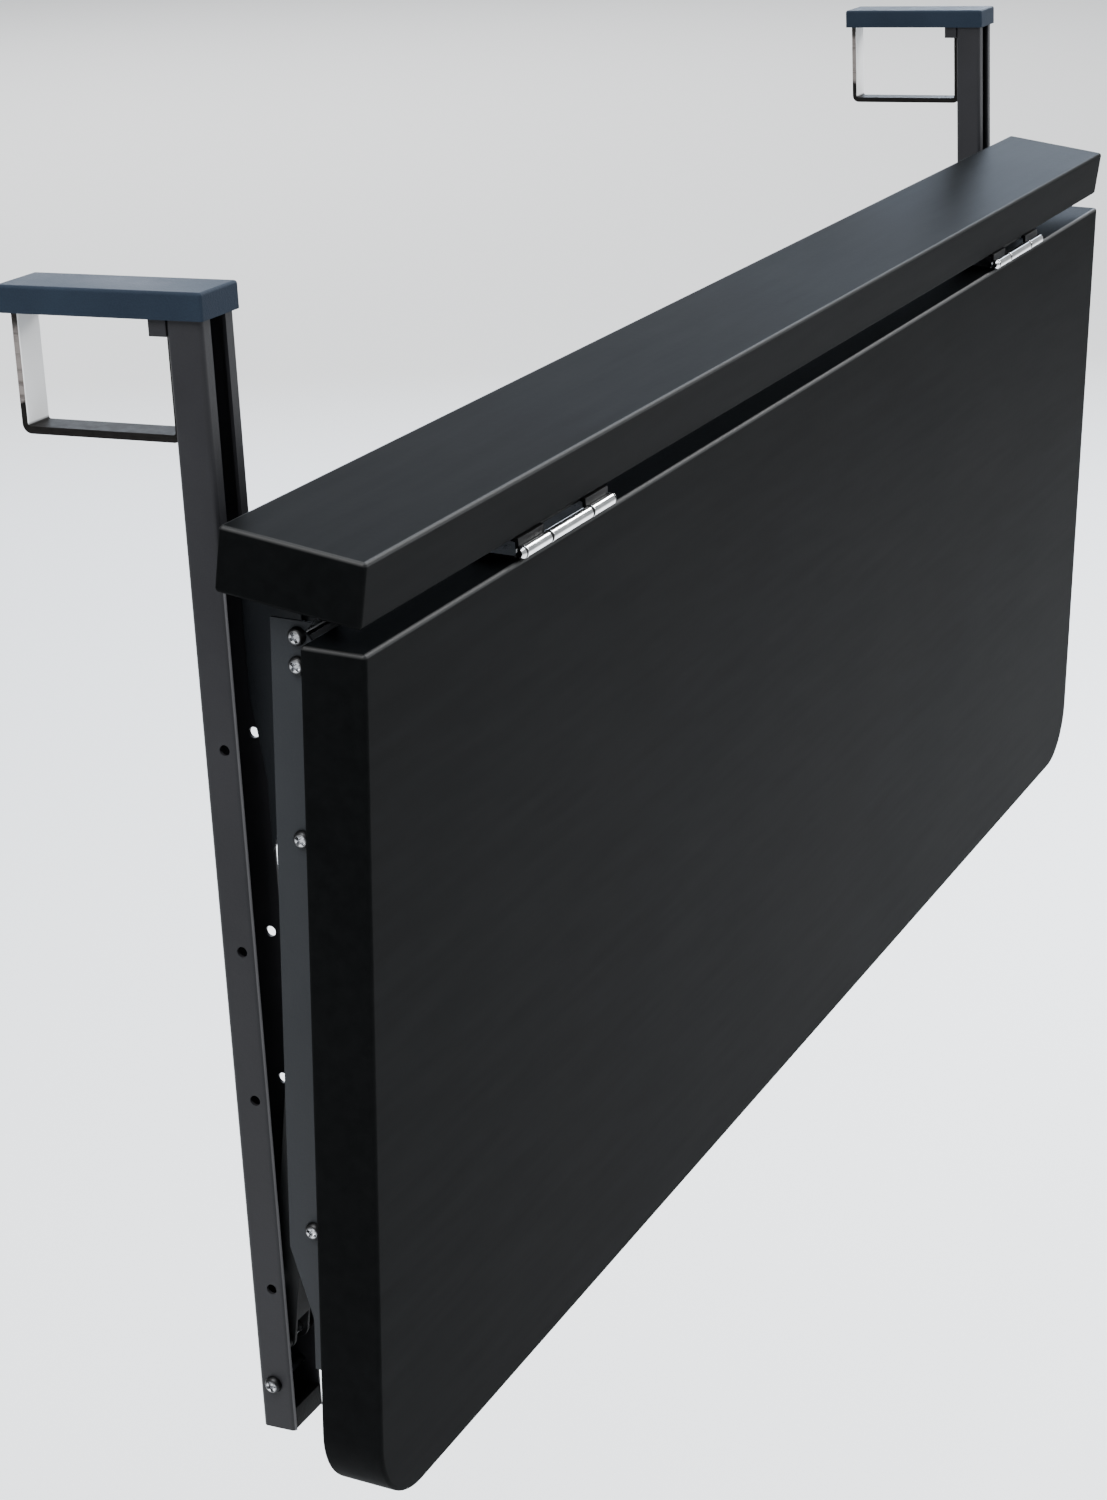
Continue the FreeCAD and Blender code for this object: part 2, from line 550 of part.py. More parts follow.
def fixed_hinge_plate():
    """Plate under the shelf whose legs turn down to every other knuckle."""
    half = HINGE_LENGTH / 2
    low = -SHELF_THICKNESS
    front = -SHELF_DEPTH + BOARD_EDGE
    flat = on_shelf(block(-half, half, front, -SHELF_DEPTH + HINGE_PLATE_DEPTH, low - HINGE_SHEET, low))
    leg_back = AXIS_Y + KNUCKLE_RADIUS
    leg_front = leg_back - HINGE_SHEET
    slope = math.tan(math.radians(SHELF_SLOPE))
    flat_front_y = SHELF_LOW_FRONT_Y + BOARD_EDGE * cosine(SHELF_SLOPE)
    flat_front_z = SHELF_LOW_FRONT_Z + BOARD_EDGE * sine(SHELF_SLOPE)
    rise = HINGE_SHEET / cosine(SHELF_SLOPE)
    leg_top = flat_front_z - (flat_front_y - leg_front) * slope
    root_y = flat_front_y + HINGE_SHEET
    root_z = flat_front_z + HINGE_SHEET * slope
    outline = [(leg_front, AXIS_Z), (leg_front, leg_top), (root_y, root_z),
               (root_y, root_z - rise), (leg_back, leg_top - rise), (leg_back, AXIS_Z)]
    pieces = [flat]
    for x0, x1 in knuckle_spans(0):
        pieces += [plate_x(outline, x0, x1), rod_x(x0, x1, AXIS_Y, AXIS_Z, KNUCKLE_RADIUS)]
    bore = rod_x(-half, half, AXIS_Y, AXIS_Z, HINGE_PIN_RADIUS + RUNNING)
    return fused(pieces).cut([bore] + [on_shelf(s) for s in fixed_hinge_screw_set(FIT)])


def moving_hinge_plate():
    """Plate on the leaf's hinged edge, with the knuckles between the fixed ones."""
    half = HINGE_LENGTH / 2
    flat = block(-half, half, 0, HINGE_PLATE_DEPTH, LEAF_EDGE, LEAF_EDGE + HINGE_SHEET)
    room = KNUCKLE_RADIUS + HINGE_LEAF_GAP
    gaps = [block(x0 - SIDE_CLEARANCE, x1 + SIDE_CLEARANCE, -BEYOND, room, -2 * room, room)
            for x0, x1 in knuckle_spans(0)]
    pieces = [flat.cut(gaps)]
    for x0, x1 in knuckle_spans(1):
        neck = block(x0, x1, 0, HINGE_SHEET, LEAF_EDGE, 0)
        pieces += [rod_x(x0, x1, 0, 0, KNUCKLE_RADIUS), neck]
    bore = rod_x(-half, half, 0, 0, HINGE_PIN_RADIUS + RUNNING)
    return on_leaf(fused(pieces).cut([bore] + moving_hinge_screw_set(FIT)))


def hinge_pin():
    """Pin with a button at each end of the barrel."""
    half = HINGE_LENGTH / 2
    shank = rod_x(-half, half, 0, 0, HINGE_PIN_RADIUS)
    pieces = [shank]
    for side in (-1, 1):
        pieces.append(Part.makeCone(KNUCKLE_RADIUS, HINGE_BUTTON_CROWN, HINGE_BUTTON,
                                    Vector(side * half, 0, 0), X_AXIS * side))
    return turned(fused(pieces), 0, AXIS_Y, AXIS_Z)


def fixed_hinge_screws():
    return Part.makeCompound([on_shelf(s) for s in fixed_hinge_screw_set()])


def moving_hinge_screws():
    return Part.makeCompound([on_leaf(s) for s in moving_hinge_screw_set()])


SIDE_PIECES = {
    "upright": upright, "strap_lug": strap_lug, "hook_bar": hook_bar, "hook_cap": hook_cap,
    "rail_strap": rail_strap, "strap_screws": strap_screws, "shelf_bracket": shelf_bracket,
    "shelf_screws": shelf_screws, "stop_bolt": stop_bolt, "stop_nut": stop_nut,
    "arm": arm, "arm_screws": arm_screws, "arm_bolts": arm_bolts, "arm_nuts": arm_nuts,
    "pivot_bolt": pivot_bolt, "pivot_nut": pivot_nut, "pivot_bushes": pivot_bushes,
    "stay": stay, "foot_bush": foot_bush, "foot_glides": foot_glides,
}
HINGE_PIECES = {
    "fixed_hinge_plate": fixed_hinge_plate, "moving_hinge_plate": moving_hinge_plate,
    "hinge_pin": hinge_pin, "fixed_hinge_screws": fixed_hinge_screws,
    "moving_hinge_screws": moving_hinge_screws,
}


def write(shape, name):
    """Writes one sub-part, and says so where its solids aren't sound."""
    if not shape.isValid() or not shape.Solids:
        print("NOT VALID", name)
    shape.exportStep(os.path.join("parts", name + ".step"))


def main():
    os.makedirs("parts", exist_ok=True)
    write(shelf_board(), "shelf_board")
    write(leaf_board(), "leaf_board")
    for pieces, side in ((SIDE_PIECES, UPRIGHT_SIDE), (HINGE_PIECES, HINGE_SIDE)):
        for name, make in pieces.items():
            left = make().translated(Vector(-side, 0, 0))
            write(left, "left_" + name)
            write(left.mirror(Vector(0, 0, 0), X_AXIS), "right_" + name)
    print("hinge axis y %.3f z %.3f, leaf swing %.2f" % (AXIS_Y, AXIS_Z, LEAF_SWING))
    print("stay pivot y %.3f z %.3f, length %.2f, swing %.3f" % (PIVOT_Y, PIVOT_Z, STAY_LENGTH, STAY_SWING))


main()
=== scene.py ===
import json
import math

import bmesh
import bpy
from mathutils import Matrix, Vector

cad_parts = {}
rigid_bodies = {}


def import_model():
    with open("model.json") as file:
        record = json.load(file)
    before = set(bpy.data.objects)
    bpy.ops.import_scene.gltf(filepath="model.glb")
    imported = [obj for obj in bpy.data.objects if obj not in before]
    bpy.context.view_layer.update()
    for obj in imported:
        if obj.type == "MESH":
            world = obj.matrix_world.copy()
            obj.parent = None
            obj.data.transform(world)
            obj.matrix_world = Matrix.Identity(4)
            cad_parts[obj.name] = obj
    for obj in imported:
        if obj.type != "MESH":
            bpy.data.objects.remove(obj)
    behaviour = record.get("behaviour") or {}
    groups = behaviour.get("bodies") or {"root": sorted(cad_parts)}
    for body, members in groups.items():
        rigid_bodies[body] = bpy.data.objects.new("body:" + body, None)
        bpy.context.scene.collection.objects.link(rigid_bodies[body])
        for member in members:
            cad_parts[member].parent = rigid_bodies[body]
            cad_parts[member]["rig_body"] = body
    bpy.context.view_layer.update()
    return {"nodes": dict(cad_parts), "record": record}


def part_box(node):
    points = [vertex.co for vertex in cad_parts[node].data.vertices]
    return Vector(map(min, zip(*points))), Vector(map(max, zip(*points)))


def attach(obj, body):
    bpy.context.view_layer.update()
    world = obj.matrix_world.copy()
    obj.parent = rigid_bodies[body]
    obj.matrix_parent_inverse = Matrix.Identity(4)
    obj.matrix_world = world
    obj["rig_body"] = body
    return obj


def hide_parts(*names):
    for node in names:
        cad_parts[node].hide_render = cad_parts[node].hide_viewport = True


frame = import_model()

# The boards, caps, screws and bolts are new meshes in place of their CAD nodes. The other nodes keep their own
# shape, with broken edges, and the hinge plates get bright sleeves over their knuckles as well. The foot plugs
# stand for no node.

# Sizes in metres. Those of a piece that stands for a CAD node are the node's own.
TABLE_LENGTH = 1.0
SHELF_DEPTH = 0.062
SHELF_THICKNESS = 0.0265
SHELF_SLOPE = math.radians(9.7)
SHELF_REAR_TOP = Vector((0, -0.023965, -0.0727))
LEAF_DEPTH = 0.3737
LEAF_THICKNESS = 0.0278
LEAF_TUCK = math.radians(3.1)    # lean of the hanging leaf towards the railing
LEAF_EDGE = -0.00315         # the leaf's hinged edge, from the hinge line
LEAF_CORNER = 0.035          # round of the leaf's free corners
HINGE_LINE = Vector((0, -0.082414, -0.115067))
BOARD_ROUND = 0.0018
BARE_EDGE = -0.14            # rim level of the leaf's hinged edge, which takes the gloss off it
SIDE = 0.474                 # from the middle to each upright's centre line
HINGE_SIDE = 0.3225          # and to the middle of each hinge
CAP_WALL = 0.0016
CAP_INSIDE = 0.008
CAP_ROUND = 0.0014
ARM_FACE = 0.0125            # outer face of the arm, from the side's centre line
ARM_SHEET = 0.0012
UPRIGHT_FACE = 0.012         # outer face of the upright, likewise
UPRIGHT_FOOT_BOLT = Vector((0, -0.0068, -0.4455))       # where the stop bolt sits on it
FOOT_PLUG_LOW = Vector((-0.0105, -0.0152, -0.4661))     # corners, from the side's centre line
FOOT_PLUG_HIGH = Vector((0.0105, -0.0015, -0.456))
BOLT_BACK = 0.0360           # bolt line of the arms, behind the leaf's front
BOLT_DROPS = (0.0013, 0.0128, 0.2533)   # below the leaf's hinged edge, as are the next two
PIVOT_DROP = 0.0832
ARM_SCREW_DROPS = (0.042, 0.170, 0.306)
SHELF_SCREW_INSET = 0.02425  # from the side's centre line towards the middle
SHELF_SCREW_PLACES = (0.012, 0.038)     # forward of the shelf's rear edge
BRACKET_SHEET = 0.002
HINGE_SHEET = 0.0015
HINGE_SCREW_PLACES = (-0.034, 0.0, 0.034)       # along the hinge, from its middle
FIXED_HINGE_SCREWS_FORWARD = 0.04774    # of the shelf's rear edge
MOVING_HINGE_SCREWS_BACK = 0.0138       # behind the leaf's front
HINGE_HALF = 0.0445          # half the hinge's length
KNUCKLE_JOINTS = (-0.01958, 0.02136)    # from the hinge's middle
KNUCKLE_GAP = 0.0008         # dark gap at each end of a bright knuckle
SLEEVE_RADIUS = 0.00275 + 0.00012       # a knuckle's radius and the sleeve over it
STRAP_INNER_FACE = 0.0686    # inner face of the strap's rear leg, behind the uprights
STRAP_FLOOR = -0.045         # top of the strap's lower run
STRAP_EDGE_LIGHT_STARTS = (-0.0335, -0.031)    # heights over which the lighter edges, rubbed metal with painted reflection, come in
STRAP_EDGE_LIGHT_ENDS = (-0.0055, -0.002)      # and dim to a quarter, painted shade up under the cap
UPRIGHT_FRONT = -0.0154      # front edges of the uprights
UPRIGHT_HIGHLIGHT_TOP = -0.1       # top of the painted highlight on them
SMALL_ROUND = 0.0006         # on foot plugs and knuckles
BROKEN_EDGE = 0.00025        # bevel on the edges of sheet and turned parts
BROKEN_ANGLE = math.radians(40)
SHARP_ANGLE = math.radians(38)
LEAF_PLACE = Matrix.Translation(HINGE_LINE) @ Matrix.Rotation(LEAF_TUCK, 4, "X")
SHELF_PLACE = Matrix.Translation(SHELF_REAR_TOP) @ Matrix.Rotation(SHELF_SLOPE, 4, "X")

# Head radius, head height and shank radius.
BOLT = (0.00375, 0.0028, 0.002)
WOOD_SCREW = (0.0036, 0.0022, 0.00175)
ARM_BOLT_LENGTH = 0.029
STOP_BOLT_LENGTH = 0.028
ARM_SCREW_LENGTH = 0.016
SHELF_SCREW_LENGTH = 0.018   # and of the hinges' screws
HEAD_DOME = 0.86             # round of a head's rim, over the head's height
CROSS_REACH = 0.85           # of the cross recess, over the head's radius
CROSS_WIDTH = 0.4            # likewise
CROSS_DEPTH = 0.6            # over the head's height
CROSS_TAPER = (0.45, 0.8, 1.0)          # of a blade's lower end
PAINTED_SHADE_START = 0.5            # where the painted shade on a head's skirt comes in, over the head's radius
PAINTED_SHADE_FADE = 0.15            # and over how much of it
SHANK_GAP = 0.00005          # between a head and its shank, hidden in the seat

# Nodes of each side that keep their own shape, with broken edges.
SMOOTHED = ("upright", "strap_lug", "hook_bar", "rail_strap", "strap_screws", "shelf_bracket", "stop_nut",
            "arm", "arm_nuts", "pivot_nut", "pivot_bushes", "stay", "foot_bush", "foot_glides",
            "fixed_hinge_plate", "moving_hinge_plate", "hinge_pin")

# The photograph's camera, fitted to its edges.
LENS_MM = 72.82
CAMERA_PLACE = (-1.42476, -0.60324, 0.20876)
CAMERA_RIGHT = Vector((0.4197, -0.9064, -0.047))
CAMERA_DOWN = Vector((-0.3159, -0.0974, -0.9438))
CAMERA_FORWARD = Vector((0.8509, 0.411, -0.3272))

FLOOR_HEIGHT = -1.05
DAYLIGHT = (0.94, 0.97, 1.0, 1)
DAYLIGHT_STRENGTH = 0.6
# Name, place, point it faces, size, watts and colour of each soft light.
LIGHTS = (
    ("overhead", (0.7, -0.7, 3.0), (0.5, -0.6, -0.4), (4.0, 4.0), 230, (0.93, 0.965, 1.0)),
    ("back_panel", (3.6, 1.3, 0.95), (0, 0, -0.1), (3.6, 1.7), 92, (0.72, 0.83, 1.0)),
    ("low_panel", (2.3, 0.3, 0.28), (0.45, 0, -0.08), (0.6, 0.4), 12, (0.68, 0.81, 1.0)),
    ("far_wash", (7.0, 5.0, 3.2), (7.0, 5.0, 0.0), (7.0, 7.0), 420, (1, 1, 1)),
    ("left_fill", (-1.5, 0.1, 1.3), (-0.45, 0, 0.05), (0.9, 0.9), 50, (1, 1, 1)),
    ("front_wash", (2.0, -2.0, 1.3), (2.0, -1.9, -1.05), (1.6, 1.6), 150, (1, 1, 1)),
    ("edge_lamp", (2.6, -0.6, 1.35), (0, 0, -0.1), (0.4, 0.4), 30, (1, 1, 1)),
)


class Value:
    """An output of a shader node. Arithmetic on it adds Math nodes."""

    def __init__(self, finish, out):
        self.finish = finish
        self.out = out

    def math(self, operation, *values):
        return self.finish.add("ShaderNodeMath", {"operation": operation}, dict(enumerate(values)))

    def __add__(self, other):
        return self.math("ADD", self, other)

    __radd__ = __add__

    def __sub__(self, other):
        return self.math("SUBTRACT", self, other)

    def __rsub__(self, other):
        return self.math("SUBTRACT", other, self)

    def __mul__(self, other):
        return self.math("MULTIPLY", self, other)

    __rmul__ = __mul__

    def __abs__(self):
        return self.math("ABSOLUTE", self)


class Finish:
    """A material, its shader and the nodes that feed it."""

    def __init__(self, name, **settings):
        self.material = bpy.data.materials.new(name)
        self.material.use_nodes = True
        self.tree = self.material.node_tree
        self.shader = self.tree.nodes["Principled BSDF"]
        for socket, value in settings.items():
            self.shader.inputs[socket.replace("_", " ").title().replace("Ior", "IOR")].default_value = value

    def feed(self, socket, value):
        if isinstance(value, Value):
            self.tree.links.new(value.out, socket)
        else:
            socket.default_value = value

    def add(self, kind, settings=None, sockets=None, output=0):
        node = self.tree.nodes.new(kind)
        for name, value in (settings or {}).items():
            if name == "stops":
                self.set_stops(node.color_ramp, value)
            else:
                setattr(node, name, value)
        for socket, value in (sockets or {}).items():
            self.feed(node.inputs[socket], value)
        return Value(self, node.outputs[output])

    def set_stops(self, ramp, stops):
        while len(ramp.elements) < len(stops):
            ramp.elements.new(1.0)
        for element, (place, colour) in zip(ramp.elements, stops):
            element.position = place
            element.color = colour

    def place(self, scale=(1, 1, 1)):
        """The surface's place in the object, stretched."""
        where = self.add("ShaderNodeTexCoord", output="Object")
        return self.add("ShaderNodeMapping", sockets={"Vector": where, "Scale": scale})

    def axis(self, number):
        """One coordinate of the surface's place: 0 for X, 1 for Y, 2 for Z."""
        return self.add("ShaderNodeSeparateXYZ", sockets={"Vector": self.place()}, output=number)

    def rim(self):
        """The piece's own level: 1 on the rounds at a board's top, and on the skirt and shank of a screw,
        where a plated finish paints shade.
        """
        return self.add("ShaderNodeAttribute", {"attribute_name": "rim"}, output="Fac")

    def noise(self, place, scale, detail=2.0, rough=0.5):
        sockets = {"Vector": place, "Scale": scale, "Detail": detail, "Roughness": rough}
        return self.add("ShaderNodeTexNoise", sockets=sockets)

    def between(self, factor, first, second):
        """A colour that goes from first to second with factor."""
        return self.add("ShaderNodeMix", {"data_type": "RGBA"}, {0: factor, 6: first, 7: second}, output=2)

    def ramp(self, factor, *stops):
        return self.add("ShaderNodeValToRGB", {"stops": stops}, {"Fac": factor})

    def level(self, value, low, high, to_low, to_high):
        """value from low..high carried to to_low..to_high, and held there."""
        sockets = {"Value": value, "From Min": low, "From Max": high, "To Min": to_low, "To Max": to_high}
        return self.add("ShaderNodeMapRange", sockets=sockets)

    def colour(self, value):
        self.feed(self.shader.inputs["Base Color"], value)

    def roughness(self, value):
        self.feed(self.shader.inputs["Roughness"], value)

    def coat(self, value):
        self.feed(self.shader.inputs["Coat Weight"], value)

    def bump(self, height, strength, distance):
        sockets = {"Height": height, "Strength": strength, "Distance": distance}
        normal = self.add("ShaderNodeBump", sockets=sockets)
        self.feed(self.shader.inputs["Normal"], normal)


def board_lacquer(name):
    """Satin black lacquer over board, with the faint drag of the sprayed coat along its length."""
    finish = Finish(name, specular_ior_level=0.002, coat_roughness=0.54, coat_ior=1.5)
    drag = finish.noise(finish.place((0.25, 3.0, 3.0)), 60.0, 3.0, 0.6)
    cloud = finish.noise(finish.place(), 6.0, 2.0, 0.5)
    speck = finish.noise(finish.place(), 900.0, 2.0, 0.6)
    peel = finish.noise(finish.place(), 260.0, 2.0, 0.5)
    tone = 0.6 * drag + 0.4 * cloud
    dark, light = (0.0010, 0.0012, 0.0013, 1), (0.0022, 0.0025, 0.0027, 1)
    finish.colour(finish.ramp(tone, (0.3, dark), (0.7, light)))
    finish.roughness(finish.level(0.5 * cloud + 0.5 * speck, 0.3, 0.7, 0.42, 0.52))
    gloss = finish.level(0.45 * drag + 0.2 * cloud + 0.35 * speck, 0.35, 0.65, 0.060, 0.076)
    finish.coat(finish.level(gloss + 0.55 * finish.rim(), 0.0, 1.0, 0.0, 1.0))
    finish.bump(0.5 * peel + 0.35 * drag + 0.15 * speck, 0.12, 0.0006)
    return finish.material


def powder_coat(name, dark, light, roughness=0.46, sheen=0.17, edge=None):
    """Fine-grained powder coat with a slow change of tone. edge is a front, a top and a colour: the edges at
    this front and below this top are painted to it, as a painted highlight."""
    finish = Finish(name, specular_ior_level=sheen)
    cloud = finish.noise(finish.place(), 14.0, 3.0, 0.6)
    grain = finish.noise(finish.place(), 1700.0, 2.0, 0.6)
    pebble = finish.noise(finish.place(), 620.0, 2.0, 0.5)
    tone = 0.65 * cloud + 0.35 * grain
    coat = finish.ramp(tone, (0.32, dark), (0.68, light))
    # Painted highlight: the front edges below the top go to the light colour.
    if edge:
        front, top, edge_light_colour = edge
        at_front = finish.level(finish.axis(1), front + 0.0005, front + 0.0008, 1.0, 0.0)
        low = finish.level(finish.axis(2), top - 0.002, top, 1.0, 0.0)
        coat = finish.between(at_front * low, coat, edge_light_colour)
    finish.colour(coat)
    finish.roughness(finish.level(cloud, 0.35, 0.7, roughness - 0.06, roughness + 0.07))
    finish.bump(0.6 * pebble + 0.4 * grain, 0.22, 0.0004)
    return finish.material


def moulded_plastic(name, dark, light):
    """Matt moulded plastic with a leather-fine grain."""
    finish = Finish(name, specular_ior_level=0.06)
    cell = finish.add("ShaderNodeTexVoronoi", {"feature": "F1"}, {"Vector": finish.place(), "Scale": 1300.0})
    cloud = finish.noise(finish.place(), 25.0, 3.0, 0.55)
    finish.colour(finish.ramp(0.8 * cloud + 0.2 * cell, (0.3, dark), (0.7, light)))
    finish.roughness(finish.level(cloud, 0.3, 0.7, 0.5, 0.62))
    finish.bump(cell, 0.25, 0.0003)
    return finish.material


def strap_wear_and_reflection(name):
    """Black strip steel: the rear leg's inner face is bare zinc, painted near white as its reflection, and its
    edges are rubbed brown-grey metal with painted reflection, which dims to painted shade up under the cap.
    """
    finish = Finish(name, specular_ior_level=0.03)
    depth = finish.axis(1)
    height = finish.axis(2)
    off_face = abs(depth - STRAP_INNER_FACE)
    straight = finish.level(height, STRAP_FLOOR + 0.0005, STRAP_FLOOR + 0.0015, 0.0, 1.0)
    # The inner face: bare zinc, painted near white as its bright reflection.
    bare_face_reflection = finish.level(off_face, 0.0002, 0.0004, 1.0, 0.0) * straight
    rear = finish.level(depth, STRAP_INNER_FACE - 0.0012, STRAP_INNER_FACE - 0.0008, 0.0, 1.0)
    streak = finish.noise(finish.place((0.12, 0.12, 1.0)), 420.0, 3.0, 0.6)
    blotch = finish.noise(finish.place(), 260.0, 4.0, 0.65)
    low = finish.level(height + 0.006 * blotch, *STRAP_EDGE_LIGHT_STARTS, 0.0, 1.0)
    # Up under the cap the lighter edges dim to a quarter: painted shade.
    high = finish.level(height + 0.006 * blotch, *STRAP_EDGE_LIGHT_ENDS, 1.0, 0.25)
    rub_and_reflection = rear * low * high * finish.level(streak, 0.36, 0.52, 0.45, 1.0)
    brush = finish.noise(finish.place((1.0, 1.0, 60.0)), 200.0, 2.0, 0.6)
    tone = 0.5 * brush + 0.5 * blotch
    dark = finish.ramp(tone, (0.3, (0.004, 0.004, 0.0037, 1)), (0.7, (0.013, 0.012, 0.0115, 1)))
    edge_light_colour = finish.between(streak, (0.13, 0.112, 0.105, 1), (0.2, 0.182, 0.175, 1))
    coat = finish.between(rub_and_reflection, dark, edge_light_colour)
    finish.colour(finish.between(bare_face_reflection, coat, (0.86, 0.865, 0.87, 1)))
    finish.roughness(finish.level(blotch + bare_face_reflection, 0.3, 0.8, 0.46, 0.62))
    finish.bump(0.5 * brush + 0.5 * streak, 0.12, 0.0002)
    return finish.material


def plated(name, colour, roughness, marks_depth=0.08):
    """Bright plate with fine marks and faint clouding, near black with painted shade on a screw's skirt and
    shank.
    """
    finish = Finish(name, metallic=1.0)
    marks = finish.noise(finish.place((1.0, 12.0, 12.0)), 700.0, 2.0, 0.6)
    cloud = finish.noise(finish.place(), 160.0, 3.0, 0.6)
    # Painted shade: a screw's skirt and shank go near black, and rougher.
    painted_shade = finish.rim()
    dull = tuple(c * 0.82 for c in colour)
    dark = tuple(c * 0.04 for c in colour)
    clean = finish.between(finish.level(cloud, 0.35, 0.65, 0.0, 1.0), dull + (1,), colour + (1,))
    finish.colour(finish.between(painted_shade, clean, dark + (1,)))
    wear = finish.level(0.5 * marks + 0.5 * cloud, 0.3, 0.7, roughness - 0.04, roughness + 0.06)
    finish.roughness(wear + 0.3 * painted_shade)
    finish.bump(marks, marks_depth, 0.0001)
    return finish.material


FINISHES = {
    "board_black": board_lacquer("board_black_lacquer"),
    # The uprights' front edges, low down, get a painted highlight in light grey.
    "frame_steel": powder_coat("frame_dark_grey_coat", (0.0125, 0.0125, 0.0142, 1), (0.019, 0.019, 0.0215, 1),
                               edge=(UPRIGHT_FRONT, UPRIGHT_HIGHLIGHT_TOP, (0.1, 0.1, 0.105, 1))),
    "arm_steel": powder_coat("arm_blue_grey_coat", (0.013, 0.0148, 0.0172, 1), (0.02, 0.0222, 0.0255, 1)),
    "stay_steel": powder_coat("stay_black_coat", (0.004, 0.0044, 0.0048, 1), (0.007, 0.0075, 0.008, 1)),
    "cap_plastic": moulded_plastic("cap_slate_plastic", (0.0105, 0.016, 0.0255, 1),
                                   (0.0145, 0.022, 0.034, 1)),
    "strap_steel": strap_wear_and_reflection("strap_steel_wear_and_reflection"),
    "zinc": plated("bright_zinc", (0.6, 0.605, 0.62), 0.13),
    # Screws under the shelf and inside the arms: zinc painted near black, as painted shade.
    "dark_zinc": plated("zinc_in_painted_shade", (0.06, 0.06, 0.063), 0.3),
    # Hinge plates and their screws: near black, as painted shade; their knuckles get bright sleeves.
    "hinge_plate": powder_coat("hinge_plate_painted_shade", (0.003, 0.003, 0.0032, 1), (0.006, 0.006, 0.0065, 1),
                               roughness=0.4, sheen=0.03),
    "hinge_chrome": plated("polished_chrome", (0.66, 0.665, 0.67), 0.1, 0.03),
    "glide_plastic": moulded_plastic("glide_black_nylon", (0.003, 0.003, 0.0033, 1),
                                     (0.005, 0.005, 0.0055, 1)),
}


def paint_frame():
    """Gives every CAD node the finish of its slot."""
    for row in frame["record"]["subparts"]:
        for slot in frame["nodes"][row["node"]].material_slots:
            slot.material = FINISHES[row["material_slot"]]


def mesh_of(name, shape):
    """The bmesh as a mesh. The bmesh is gone after this."""
    mesh = bpy.data.meshes.new(name)
    shape.to_mesh(mesh)
    shape.free()
    return mesh


def placed(name, data):
    """A new object in the scene."""
    thing = bpy.data.objects.new(name, data)
    bpy.context.scene.collection.objects.link(thing)
    return thing


def made(name, shape, node, slot, instead=True):
    """A new piece from a bmesh, moving with a CAD node's body and, unless told otherwise, in its place."""
    mesh = mesh_of(name, shape)
    mesh.shade_smooth()
    mesh.set_sharp_from_angle(angle=SHARP_ANGLE)
    mesh.materials.append(FINISHES[slot])
    piece = placed(name, mesh)
    flats = piece.modifiers.new("true_flats", "WEIGHTED_NORMAL")
    flats.keep_sharp = True
    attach(piece, frame["nodes"][node]["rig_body"])
    if instead:
        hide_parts(node)
    return piece


def box_between(low, high):
    """A box from one corner to the other."""
    shape = bmesh.new()
    bmesh.ops.create_cube(shape, size=1.0)
    size = high - low
    bmesh.ops.scale(shape, vec=size, verts=shape.verts)
    bmesh.ops.translate(shape, vec=(low + high) / 2, verts=shape.verts)
    return shape


def rounded(shape, edges, radius, segments):
    """Rounds edges of shape, and returns the faces that this makes."""
    result = bmesh.ops.bevel(shape, geom=edges, offset=radius, offset_type="OFFSET", affect="EDGES",
                             segments=segments, profile=0.5, material=-1)
    return set(result["faces"])


def mark_rim(shape, round_faces, top, right_end=1.0, top_face=0.0):
    """Writes 1 to the points within the rounds at the board's top, top_face to the corners of the face
    between them and 0 to the rest, for the finish to read. Rounds at +X get right_end."""
    rim = shape.verts.layers.float.new("rim")
    for vert in shape.verts:
        upper = vert.co.z > top - BOARD_ROUND * 0.9
        if upper and all(face in round_faces for face in vert.link_faces):
            vert[rim] = right_end if vert.co.x > 0 else 1.0
        elif vert.co.z > top - 1e-6:
            vert[rim] = top_face


def sharp_edges(shape, angle=0.5):
    """Edges where the faces turn by more than angle, in radians."""
    return [e for e in shape.edges if len(e.link_faces) == 2 and e.calc_face_angle(0) > angle]


def across_board(shape, side):
    """Edges through the board's thickness at one side, low (-1) or high (1) along Z."""
    found = []
    for edge in shape.edges:
        a, b = (v.co for v in edge.verts)
        if abs(a.x - b.x) < 1e-6 and abs(a.z - b.z) < 1e-6 and abs(a.y - b.y) > 1e-4:
            found.append(edge)
    middle = sum(e.verts[0].co.z for e in found) / len(found)
    return [e for e in found if (e.verts[0].co.z - middle) * side > 0]


def leaf_panel():
    """The table leaf: rounded outer corners and a soft edge all round."""
    half = TABLE_LENGTH / 2
    shape = box_between(Vector((-half, 0, LEAF_EDGE - LEAF_DEPTH)), Vector((half, LEAF_THICKNESS, LEAF_EDGE)))
    rounded(shape, across_board(shape, -1), LEAF_CORNER, 14)
    rounds = rounded(shape, sharp_edges(shape, 1.0), BOARD_ROUND, 5)
    mark_rim(shape, rounds, LEAF_EDGE, top_face=BARE_EDGE)
    bmesh.ops.transform(shape, matrix=LEAF_PLACE, verts=shape.verts)
    made("leaf_panel", shape, "leaf_board", "board_black")


def shelf_panel():
    """The sloping shelf, soft along all its edges."""
    half = TABLE_LENGTH / 2
    shape = box_between(Vector((-half, -SHELF_DEPTH, -SHELF_THICKNESS)), Vector((half, 0, 0)))
    rounds = rounded(shape, sharp_edges(shape, 1.0), BOARD_ROUND, 5)
    mark_rim(shape, rounds, 0.0, right_end=0.2)
    bmesh.ops.transform(shape, matrix=SHELF_PLACE, verts=shape.verts)
    made("shelf_panel", shape, "shelf_board", "board_black")


